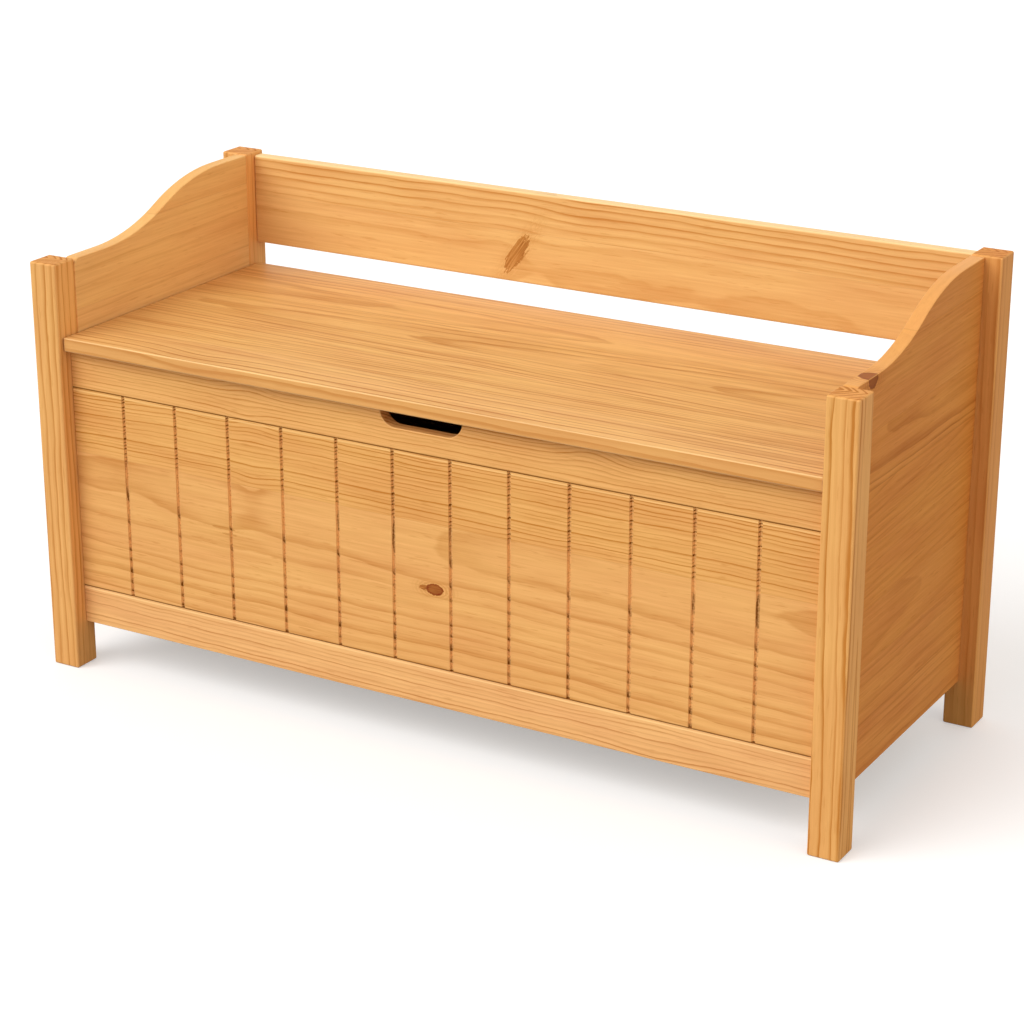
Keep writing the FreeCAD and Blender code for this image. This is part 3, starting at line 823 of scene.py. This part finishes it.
# Painted shade: a darker, redder copy of the pine for the right side panel, which faces away from the key
# lamp; its paler narrow-edge colour is a painted highlight on the top edge.
SHADED_AMBER = PineFinish(early="DA9147", late="B06524", shine=0.06, narrow_light_shade="EDB068", arris_wear_light="EDB068")
# Painted shade: a darker copy of the pine for the rear right post, in the shaded corner behind the right
# side.
SHADED_BRONZE = PineFinish(early="E4A35E", late="BF7836", shine=0.08)
RAW = PineFinish(early="EBCB99", late="C99A5C", end="C9A070", roughness=0.72, relief=0.0002)


def dress(node: str, material: bpy.types.Material) -> None:
    """Gives a node of the frame its material.

    Args:
        node: Name of the node.
        material: Its finish.
    """
    mesh = bpy.data.objects[node].data
    mesh.materials.clear()
    mesh.materials.append(material)
    LOG.info("dressed %s in %s", node, material.name)


@dataclass(frozen=True)
class Spread:
    """A measure that differs from stave to stave.

    Attributes:
        mean: What it is on average.
        reach: How far it strays from that.
        pace: How quickly it swings.
        start: Where its swing starts, in radians.
    """

    mean: float
    reach: float
    pace: float = 1.0
    start: float = 0.0

    def at(self, turn: float) -> float:
        """Gives the measure of one stave."""
        return self.mean + self.reach * math.sin(turn * self.pace + self.start)


STAVE_TURN = 2.4
PITH_ASIDE = Spread(0.06, 0.04)
PITH_BELOW = Spread(0.05, 0.03, 1.7, math.pi / 2)
RING_WIDTH = Spread(0.0105, 0.0045, 3.1)
STAVE_TONE = Spread(0.5, 0.015, 2.3)
SLANT = 0.03
SLANT_STRAY = Spread(0.0, 0.03, 1.3)


def matched(
    start: float, ends: Sequence[float], face: float, contrasts: Sequence[float], seed: float
) -> tuple[Stave, ...]:
    """Staves of one panel, each sawn a little differently.

    Args:
        start: Where the first stave begins.
        ends: Where each stave ends.
        face: Where the panel lies, through its thickness.
        contrasts: Strength of the late wood in each.
        seed: Picks how they differ.

    Returns:
        The staves in order.
    """
    made = []
    for number, (end, contrast) in enumerate(zip(ends, contrasts)):
        turn = seed + number * STAVE_TURN
        side = 1 if number % 3 else -1
        pith = ((start + end) / 2 + side * PITH_ASIDE.at(turn), face - PITH_BELOW.at(turn))
        taper = side * SLANT + SLANT_STRAY.at(turn)
        made.append(Stave(RING_WIDTH.at(turn), pith, contrast, STAVE_TONE.at(turn), turn, taper, end=end))
        start = end
    return tuple(made)


@dataclass
class Post:
    """A corner post, glued from two halves whose rings meet in a chevron.

    Attributes:
        name: Its node.
        place: Its middle, sideways and to the back.
        ring: Width of its yearly rings.
        contrast: Strength of the late wood.
        seed: Picks its wander.
        tone: Brightness, where 0.5 is the finish's own.
        finish: Its colours and gloss.
    """

    name: str
    place: Pair
    ring: float
    contrast: float
    seed: float
    tone: float = 0.49
    finish: PineFinish = LACQUERED
    glue_line: ClassVar[float] = 0.006
    pith_away: ClassVar[float] = 0.085

    def dress(self) -> None:
        """Gives the post its own timber."""
        x, y = self.place
        pith = (x - self.pith_away, -self.pith_away)
        stave = Stave(self.ring, pith, self.contrast, self.tone, self.seed, wander=0.012, curl=0.0015)
        lay = Lay(Axis.Z, Axis.X, Axis.Y, fold=y + self.glue_line, ends=1.0)
        dress(self.name, Board(f"{self.name}_pine", lay, (stave,), self.finish).material())


@dataclass
class ChestFront:
    """The front of the chest: a grooved panel between two rails.

    Attributes:
        seams: Heights of the joints between the panel and the rails.
        groove_depth: Where the panel's grooves begin, through its thickness.
        panel_staves: The panel's two boards.
        panel_knots: Its knots.
        top_rail: Timber of the upper rail.
        bottom_rail: Timber of the lower rail.
        rail_knots: Places on the rails where the grain curls.
    """

    seams: Pair = (0.113, 0.388)
    groove_depth: float = -0.2075
    panel_staves: tuple[Stave, ...] = (
        Stave(0.0125, (0.275, -0.123), 0.5, 0.506, seed=3.0, taper=-0.02, wander=0.02, curl=0.002, end=0.301),
        Stave(0.0054, (0.02, -0.178), 1.0, 0.482, seed=8.0, taper=0.002, wander=0.014, curl=0.0025),
    )
    panel_knots: tuple[Knot, ...] = (
        Knot(0.018, 0.217, 0.0128, 0.0075, swirl=0.0, eye=0.001),
        Knot(0.003, 0.2172, 0.007, 0.0035, dark=0.8, swirl=0.0, feather=1.6),
        Knot(-0.297, 0.2375, 0.018, 0.002, dark=0.3),
        Knot(-0.288, 0.2305, 0.012, 0.0015, dark=0.3),
        Knot(-0.25, 0.345, 0.009, 0.016, dark=0.0, swirl=0.25),
    )
    top_rail: Stave = Stave(
        0.0042, (0.2, -0.318), 0.85, 0.5, seed=12.0, taper=0.004, wander=0.009, curl=0.003
    )
    bottom_rail: Stave = Stave(
        0.005, (-0.13, -0.318), 0.85, 0.56, seed=17.0, taper=0.004, wander=0.009, curl=0.003
    )
    rail_knots: tuple[Knot, ...] = (
        Knot(-0.255, 0.412, 0.01, 0.012, dark=0.0, swirl=0.4),
        Knot(0.228, 0.398, 0.012, 0.014, dark=0.0, swirl=0.5),
        Knot(0.32, 0.085, 0.02, 0.012, dark=0.0, swirl=0.3),
    )

    def dress(self) -> None:
        """Dresses the panel and the rails."""
        lay = Lay(Axis.X, Axis.Z, Axis.Y)
        panel = Board(
            "front_panel_pine", lay, self.panel_staves, FRONT, self.panel_knots, self.seams, self.groove_depth
        )
        dress("front_panel", panel.material())
        for name, stave in (("front_top_rail", self.top_rail), ("front_bottom_rail", self.bottom_rail)):
            rail = Board(f"{name}_pine", lay, (stave,), RAIL, self.rail_knots, self.seams)
            dress(name, rail.material())


@dataclass
class SidePanel:
    """An ogee side, glued from boards that run from front to back.

    Attributes:
        side: Left or right.
        middle: Where it lies, through its thickness.
        contrasts: Strength of the late wood in each board.
        seed: Picks how the boards differ.
        finish: Its colours and gloss.
        knots: Its knots.
    """

    side: str
    middle: float
    contrasts: tuple[float, ...]
    seed: float
    finish: PineFinish
    knots: tuple[Knot, ...] = ()
    foot: ClassVar[float] = 0.061
    ends: ClassVar[tuple[float, ...]] = (0.13, 0.2, 0.272, 0.345, 0.417, 0.487, 0.575, 0.63)

    def dress(self) -> None:
        """Dresses the side."""
        lay = Lay(Axis.Y, Axis.Z, Axis.X)
        staves = matched(self.foot, self.ends, self.middle, self.contrasts, self.seed)
        board = Board(f"{self.side}_side_pine", lay, staves, self.finish, self.knots, narrow_light_shade=True)
        dress(f"{self.side}_side_panel", board.material())


@dataclass
class Back:
    """The back rail above the seat, and the chest's back under it.

    Attributes:
        rail_staves: The rail's two boards.
        rail_knots: Its knot.
        panel_foot: Height of the panel's lower edge.
        panel_ends: Height at which each of its boards ends.
        panel_middle: Where the panel lies, through its thickness.
        panel_contrasts: Strength of the late wood in each of its boards.
    """

    rail_staves: tuple[Stave, ...] = (
        Stave(0.014, (0.5, 0.13), 0.35, 0.5, seed=5.0, taper=0.01, wander=0.02, end=0.556),
        Stave(0.0105, (0.36, 0.2), 1.0, 0.495, seed=9.0, taper=0.012, wander=0.018),
    )
    rail_knots: tuple[Knot, ...] = (
        Knot(-0.107, 0.527, 0.031, 0.0105, lean=0.95, dark=0.6, swirl=0.25, feather=1.5),
    )
    panel_foot: float = 0.061
    panel_ends: tuple[float, ...] = (0.14, 0.22, 0.3, 0.38, 0.45)
    panel_middle: float = 0.199
    panel_contrasts: tuple[float, ...] = (0.6, 0.5, 0.7, 0.5, 0.6)

    def dress(self) -> None:
        """Dresses the rail and the panel."""
        lay = Lay(Axis.X, Axis.Z, Axis.Y)
        rail = Board("back_rail_pine", lay, self.rail_staves, PALE, self.rail_knots, narrow_light_shade=True)
        dress("back_rail", rail.material())
        staves = matched(self.panel_foot, self.panel_ends, self.panel_middle, self.panel_contrasts, seed=11.0)
        dress("lower_back_panel", Board("back_panel_pine", lay, staves, LACQUERED).material())


@dataclass
class SeatLid:
    """The seat, which is the lid, with the battens under it.

    Attributes:
        staves: The lid's boards, from the front to the back.
        swirls: Places on the seat where the grain curls.
        batten_spacing: Distance between the battens.
    """

    staves: tuple[Stave, ...] = (
        Stave(0.0078, (-0.31, 0.373), 1.1, 0.5, seed=1.0, taper=0.01, wander=0.007, curl=0.002, end=-0.15),
        Stave(0.0075, (0.1, 0.408), 0.75, 0.482, seed=2.0, taper=0.004, wander=0.014, curl=0.002, end=-0.077),
        Stave(0.0095, (-0.3, 0.428), 0.85, 0.487, seed=3.3, taper=0.04, wander=0.016, curl=0.002, end=-0.005),
        Stave(0.0095, (0.01, 0.408), 0.6, 0.487, seed=4.1, taper=-0.035, wander=0.016, curl=0.002, end=0.07),
        Stave(0.0105, (0.108, 0.388), 0.5, 0.487, seed=5.7, taper=0.028, wander=0.01, curl=0.002, end=0.145),
        Stave(0.0105, (0.4, 0.428), 0.65, 0.487, seed=6.2, taper=0.006, wander=0.014, curl=0.002),
    )
    swirls: tuple[Knot, ...] = (
        Knot(-0.335, -0.165, 0.016, 0.01, dark=0.0, swirl=0.45),
        Knot(-0.02, -0.11, 0.012, 0.008, dark=0.0, swirl=0.5),
    )
    batten_spacing: float = 0.38

    def dress(self) -> None:
        """Dresses the lid and its battens."""
        lay = Lay(Axis.X, Axis.Y, Axis.Z, ends=1.0)
        dress("lid", Board("lid_pine", lay, self.staves, SEAT, self.swirls, narrow_light_shade=True).material())
        lay = Lay(Axis.Y, Axis.X, Axis.Z, ends=1.0)
        for number, place in enumerate(("left", "centre", "right")):
            x = (number - 1) * self.batten_spacing
            stave = Stave(0.008, (x + 0.05, 0.4), contrast=0.8, seed=3.0 + number)
            dress(f"{place}_lid_batten", Board(f"{place}_batten_pine", lay, (stave,), RAW).material())


@dataclass
class ChestFloor:
    """The chest's floor and the cleats that carry it.

    Attributes:
        cleats: The side of the chest that each cleat runs along, its grain and the axis across it.
    """

    cleats: tuple[tuple[str, Axis, Axis], ...] = (
        ("front", Axis.X, Axis.Y), ("rear", Axis.X, Axis.Y),
        ("left", Axis.Y, Axis.X), ("right", Axis.Y, Axis.X),
    )

    def dress(self) -> None:
        """Dresses the floor and the cleats."""
        sheet = Stave(0.03, (0.1, -0.02), contrast=0.5, seed=4.0, wander=0.06)
        dress("floor_panel", Board("plywood", Lay(Axis.X, Axis.Y, Axis.Z), (sheet,), RAW).material())
        for side, along, across in self.cleats:
            stave = Stave(0.007, (0.3, 0.02), contrast=0.8, seed=float(len(side)))
            cleat = Board(f"{side}_cleat_pine", Lay(along, across, Axis.Z, ends=1.0), (stave,), RAW)
            dress(f"{side}_floor_cleat", cleat.material())


@dataclass
class Fittings:
    """Dowels, screws, pivot pins and bushes.

    Attributes:
        screws: The screws' nodes.
        dowels: The dowels' nodes.
    """

    screws: tuple[str, ...] = ("cleat_screws", "floor_screws", "batten_screws")
    dowels: tuple[str, ...] = (
        "front_rail_dowels", "front_panel_dowels", "back_panel_dowels", "back_rail_dowels",
        "side_panel_dowels",
    )

    def dress(self) -> None:
        """Dresses the metal, the bushes and the dowels."""
        zinc = FittingFinish("zinc_screw", "C9C6BC", roughness=0.35, metallic=1.0).material()
        for name in self.screws:
            dress(name, zinc)
        dress("pivot_pins", FittingFinish("pin_steel", "B8B8B8", roughness=0.28, metallic=1.0).material())
        dress("pivot_bushes", FittingFinish("nylon", "E9E4D6", roughness=0.5, metallic=0.0).material())
        stave = Stave(0.003, (0.0, 0.0), contrast=0.4, seed=2.0)
        beech = Board("beech", Lay(Axis.X, Axis.Z, Axis.Y), (stave,), RAW).material()
        for name in self.dowels:
            dress(name, beech)


@dataclass(frozen=True)
class Lamp:
    """A broad soft light that shines on the bench from a long way off.

    Attributes:
        name: Its name.
        place: The side that it shines from.
        spread: How broad it looks from the bench, in degrees.
        power: Its strength.
        tint: Its colour.
    """

    name: str
    place: Triple
    spread: float
    power: float
    tint: str

    def hang(self, aim: Vector) -> None:
        """Adds the light to the scene, pointed at the aim."""
        lamp = bpy.data.lights.new(self.name, "SUN")
        lamp.angle = math.radians(self.spread)
        lamp.energy = self.power
        lamp.color = colour(self.tint)[:3]
        holder = bpy.data.objects.new(self.name, lamp)
        holder.location = self.place
        holder.rotation_euler = (aim - Vector(self.place)).to_track_quat("-Z", "Y").to_euler()
        bpy.context.scene.collection.objects.link(holder)


@dataclass
class Studio:
    """The pale floor, the soft light and the camera.

    Attributes:
        eye: Where the camera stands.
        yaw: Its turn about the vertical, in degrees.
        pitch: Its tilt, in degrees.
        lens: Focal length in millimetres, for a sensor 36 mm wide.
        floor_half: Half the width of the floor.
        floor_shown: Grey of the floor as the camera sees it.
        floor_lit: Grey of the floor in the light that it throws back.
        floor_glow: Light that the floor adds to what the camera sees.
        room_light: Strength of the light all round.
        aim: What the lamps point at.
        lamps: The lamps.
    """

    eye: Triple = (1.6188, -2.7753, 1.4403)
    yaw: float = -30.168
    pitch: float = -20.362
    lens: float = 94.2
    floor_half: float = 30.0
    floor_shown: float = 0.7
    floor_lit: float = 0.4
    floor_glow: float = 0.36
    room_light: float = 0.6
    aim: Triple = (0.0, 0.0, 0.3)
    lamps: tuple[Lamp, ...] = (
        Lamp("key", (-2.0, -3.3, 3.4), 50.0, 2.15, "FFFFFF"),
        Lamp("fill", (4.0, -0.7, 1.9), 60.0, 0.75, "FFE8C8"),
        Lamp("back", (-0.9, 3.5, 0.9), 60.0, 0.6, "FFF2E2"),
    )

    def build(self) -> None:
        """Builds the floor, the lights and the camera."""
        self._floor()
        self._world()
        for lamp in self.lamps:
            lamp.hang(Vector(self.aim))
        self._camera()

    def _floor(self) -> None:
        """Lays a plain pale floor that throws less light back than it shows."""
        half = self.floor_half
        corners = [(-half, -half, 0), (half, -half, 0), (half, half, 0), (-half, half, 0)]
        mesh = bpy.data.meshes.new("studio_floor")
        mesh.from_pydata(corners, [], [(0, 1, 2, 3)])
        floor = bpy.data.objects.new("studio_floor", mesh)
        bpy.context.scene.collection.objects.link(floor)
        made, graph = blank_material("studio_floor")
        seen = graph.wire("ShaderNodeLightPath", {}, "Is Camera Ray")
        greys = [(grey, grey, grey, 1.0) for grey in (self.floor_lit, self.floor_shown)]
        graph.surface({
            "Base Color": graph.mix(seen, *greys), "Roughness": 0.9, "Specular IOR Level": 0.0,
            "Emission Color": (1.0, 1.0, 1.0, 1.0), "Emission Strength": seen * self.floor_glow,
        })
        mesh.materials.append(made)

    def _world(self) -> None:
        """Fills the room with even light, in front of a white wall."""
        world = bpy.data.worlds.new("studio")
        world.use_nodes = True
        graph = Graph(world.node_tree)
        wall = world.node_tree.nodes["Background"]
        seen = graph.wire("ShaderNodeLightPath", {}, "Is Camera Ray")
        graph.feed(wall.inputs["Strength"], seen * (1.0 - self.room_light) + self.room_light)
        graph.feed(wall.inputs["Color"], (1.0, 1.0, 1.0, 1.0))
        bpy.context.scene.world = world

    def _camera(self) -> None:
        """Sets the camera at the photograph's viewing angle."""
        lens = bpy.data.cameras.new("camera")
        lens.lens = self.lens
        camera = bpy.data.objects.new("camera", lens)
        camera.location = self.eye
        camera.rotation_euler = (math.radians(90 + self.pitch), 0.0, math.radians(-self.yaw))
        bpy.context.scene.collection.objects.link(camera)
        bpy.context.scene.camera = camera


def main() -> None:
    """Loads the frame, dresses the bench piece by piece and sets up the studio."""
    logging.basicConfig(level=logging.INFO, format="%(name)s: %(message)s")
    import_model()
    posts = (
        Post("front_left_post", (-0.55, -0.21), ring=0.0072, contrast=0.85, seed=-2.16),
        Post("front_right_post", (0.55, -0.21), ring=0.0072, contrast=1.5, seed=5.54, tone=0.478),
        Post("rear_left_post", (-0.55, 0.21), ring=0.0085, contrast=0.55, seed=2.46),
        # The rear right post's darker finish is painted shade.
        Post("rear_right_post", (0.55, 0.21), ring=0.0085, contrast=0.55, seed=10.16, finish=SHADED_BRONZE),
    )
    edge_knot = Knot(-0.141, 0.553, 0.0135, 0.013, dark=0.85, swirl=0.5, depth=0.548, half_depth=0.019)
    sides = (
        SidePanel("left", -0.539, (0.5, 0.35, 0.6, 0.4, 0.3, 0.3, 0.35, 0.3), 2.0, HONEY),
        # The right side's darker finish is painted shade.
        SidePanel("right", 0.539, (0.45, 0.3, 0.4, 0.25, 0.35, 0.9, 0.2, 0.2), 6.0, SHADED_AMBER, (edge_knot,)),
    )
    for assembly in (*posts, ChestFront(), *sides, Back(), SeatLid(), ChestFloor(), Fittings()):
        assembly.dress()
    Studio().build()
    bpy.context.scene.view_settings.view_transform = "Standard"


if __name__ == "__main__":
    main()
